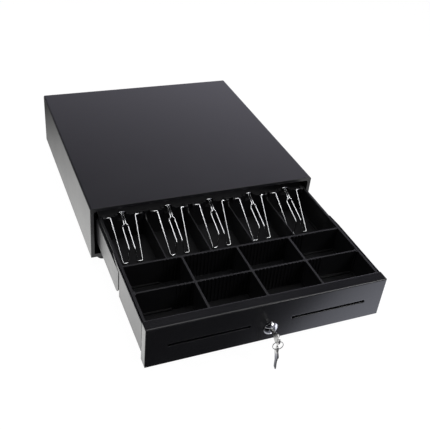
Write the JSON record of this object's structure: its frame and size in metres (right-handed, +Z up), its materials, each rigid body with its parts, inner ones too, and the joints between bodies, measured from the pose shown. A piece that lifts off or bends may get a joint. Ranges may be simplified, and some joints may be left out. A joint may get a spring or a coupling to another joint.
{
  "type": "cash drawer",
  "caption": "Black steel point-of-sale cash drawer standing open: telescopic slides, lift-out till with wire bill clips and coin dividers, key lock with keys, electric latch.",
  "frame": {"origin": "centre of the bolt-down hole pattern in the base plate's underside, which is also the centre of the case's underside", "axes": "+X to the right seen from the front, -Y out of the case's front (the drawer opens that way), +Z up"},
  "size_m": [0.41, 0.7352, 0.121],
  "materials": {
    "black_steel": "fine black powder coat, satin",
    "zinc_steel": "zinc-plated sheet and turned steel",
    "rubber": "moulded black rubber",
    "chrome": "bright plated steel",
    "spring_steel": "nickel-plated steel",
    "copper": "enamelled copper winding",
    "black_plastic": "moulded black ABS, fine grain"
  },
  "bodies": {
    "case": {"outer_cover": "black_steel", "base_plate": "black_steel", "rear_panel": "black_steel", "rear_screws": "zinc_steel", "rubber_feet": "rubber", "foot_screws": "zinc_steel", "rear_bumpers": "rubber", "rail_brackets": "zinc_steel", "left_outer_rail": "zinc_steel", "right_outer_rail": "zinc_steel", "lock_strike": "zinc_steel", "latch_base": "zinc_steel", "latch_screws": "zinc_steel", "latch_pivot": "zinc_steel", "latch_spring": "spring_steel", "solenoid_frame": "zinc_steel", "solenoid_coil": "copper", "ejector_tube": "zinc_steel", "ejector_spring": "spring_steel", "drawer_switch": "black_plastic", "cable_socket": "black_plastic", "latch_cable": "black_plastic", "switch_cable": "black_plastic"},
    "latch": {"latch_lever": "zinc_steel"},
    "plunger": {"solenoid_plunger": "chrome"},
    "ejector": {"ejector_plunger": "black_plastic"},
    "switch_arm": {"switch_lever": "spring_steel"},
    "middle": {"left_middle_rail": "zinc_steel", "right_middle_rail": "zinc_steel"},
    "inner_cage": {"inner_ball_cages": "chrome"},
    "outer_cage": {"outer_ball_cages": "chrome"},
    "drawer": {"left_drawer_rail": "zinc_steel", "right_drawer_rail": "zinc_steel", "drawer_tray": "black_steel", "drawer_front": "black_steel", "front_rivets": "zinc_steel", "media_chutes": "black_plastic", "latch_striker": "zinc_steel", "push_tab": "zinc_steel", "lock_housing": "chrome", "lock_nut": "zinc_steel"},
    "plug": {"lock_plug": "chrome", "lock_cam": "zinc_steel", "cam_screw": "zinc_steel", "key_in_lock": "spring_steel"},
    "ring": {"key_ring": "spring_steel"},
    "hanging_key": {"spare_key": "spring_steel"},
    "till": {"till_tray": "black_plastic"},
    "coin_wall": {"coin_cross_wall": "black_plastic"},
    "clip_1": {"bill_clip_1": "chrome"},
    "clip_2": {"bill_clip_2": "chrome"},
    "clip_3": {"bill_clip_3": "chrome"},
    "clip_4": {"bill_clip_4": "chrome"},
    "clip_5": {"bill_clip_5": "chrome"},
    "divider_1": {"coin_divider_1": "black_plastic"},
    "divider_2": {"coin_divider_2": "black_plastic"},
    "divider_3": {"coin_divider_3": "black_plastic"},
    "divider_4": {"coin_divider_4": "black_plastic"},
    "divider_5": {"coin_divider_5": "black_plastic"},
    "divider_6": {"coin_divider_6": "black_plastic"}
  },
  "joints": [
    {"name": "drawer_slide", "type": "slide", "parent": "case", "child": "drawer", "axis": [0, -1, 0], "range_m": [-0.274, 0]},
    {"name": "middle_slide", "type": "slide", "parent": "case", "child": "middle", "axis": [0, -1, 0], "range_m": [-0.137, 0]},
    {"name": "outer_cage_slide", "type": "slide", "parent": "case", "child": "outer_cage", "axis": [0, -1, 0], "range_m": [-0.0685, 0]},
    {"name": "inner_cage_slide", "type": "slide", "parent": "case", "child": "inner_cage", "axis": [0, -1, 0], "range_m": [-0.2055, 0]},
    {"name": "ejector_slide", "type": "slide", "parent": "case", "child": "ejector", "axis": [0, 1, 0], "range_m": [0, 0.0274], "deforming": ["ejector_spring"]},
    {"name": "switch_lever_turn", "type": "hinge", "parent": "case", "child": "switch_arm", "pos_m": [-0.097, 0.1285, 0.013], "axis": [0, 0, 1], "range_deg": [0, 10]},
    {"name": "latch_turn", "type": "hinge", "parent": "case", "child": "latch", "pos_m": [0.018, 0.1325, 0.014], "axis": [0, 0, -1], "range_deg": [0, 17]},
    {"name": "solenoid_pull", "type": "slide", "parent": "case", "child": "plunger", "axis": [1, 0, 0], "range_m": [0, 0.00585]},
    {"name": "lock_turn", "type": "hinge", "parent": "drawer", "child": "plug", "pos_m": [0, -0.4865, 0.038], "axis": [0, 1, 0], "range_deg": [0, 90]},
    {"name": "ring_swing", "type": "hinge", "parent": "plug", "child": "ring", "pos_m": [0, -0.5148, 0.039], "axis": [-1, 0, 0], "range_deg": [-15, 70]},
    {"name": "key_swing", "type": "hinge", "parent": "ring", "child": "hanging_key", "pos_m": [0, -0.5148, 0.0201], "axis": [-0.9835, 0.1734, -0.0523], "range_deg": [-10, 60]},
    {"name": "till_lift", "type": "slide", "parent": "drawer", "child": "till", "axis": [0, 0, 1], "range_m": [0, 0.08]},
    {"name": "coin_wall_lift", "type": "slide", "parent": "till", "child": "coin_wall", "axis": [0, 0, 1], "range_m": [0, 0.045]},
    {"name": "clip_1_lift", "type": "hinge", "parent": "till", "child": "clip_1", "pos_m": [-0.1533, -0.2235, 0.0866], "axis": [-1, 0, 0], "range_deg": [0, 95]},
    {"name": "clip_2_lift", "type": "hinge", "parent": "till", "child": "clip_2", "pos_m": [-0.0727, -0.2235, 0.0866], "axis": [-1, 0, 0], "range_deg": [0, 95]},
    {"name": "clip_3_lift", "type": "hinge", "parent": "till", "child": "clip_3", "pos_m": [0.0026, -0.2235, 0.0866], "axis": [-1, 0, 0], "range_deg": [0, 95]},
    {"name": "clip_4_lift", "type": "hinge", "parent": "till", "child": "clip_4", "pos_m": [0.078, -0.2235, 0.0866], "axis": [-1, 0, 0], "range_deg": [0, 95]},
    {"name": "clip_5_lift", "type": "hinge", "parent": "till", "child": "clip_5", "pos_m": [0.1494, -0.2235, 0.0866], "axis": [-1, 0, 0], "range_deg": [0, 95]},
    {"name": "divider_1_lift", "type": "slide", "parent": "till", "child": "divider_1", "axis": [0, 0, 1], "range_m": [0, 0.045]},
    {"name": "divider_2_lift", "type": "slide", "parent": "till", "child": "divider_2", "axis": [0, 0, 1], "range_m": [0, 0.045]},
    {"name": "divider_3_lift", "type": "slide", "parent": "till", "child": "divider_3", "axis": [0, 0, 1], "range_m": [0, 0.045]},
    {"name": "divider_4_lift", "type": "slide", "parent": "till", "child": "divider_4", "axis": [0, 0, 1], "range_m": [0, 0.045]},
    {"name": "divider_5_lift", "type": "slide", "parent": "till", "child": "divider_5", "axis": [0, 0, 1], "range_m": [0, 0.045]},
    {"name": "divider_6_lift", "type": "slide", "parent": "till", "child": "divider_6", "axis": [0, 0, 1], "range_m": [0, 0.045]}
  ],
  "couplings": [
    {"joint": "middle_slide", "follows": "drawer_slide", "ratio": 0.5},
    {"joint": "outer_cage_slide", "follows": "drawer_slide", "ratio": 0.25},
    {"joint": "inner_cage_slide", "follows": "drawer_slide", "ratio": 0.75},
    {"joint": "ejector_slide", "follows": "drawer_slide", "ratio": -0.1},
    {"joint": "switch_lever_turn", "follows": "drawer_slide", "rad_per_m": -0.63698},
    {"joint": "solenoid_pull", "follows": "latch_turn", "m_per_rad": 0.019716}
  ]
}
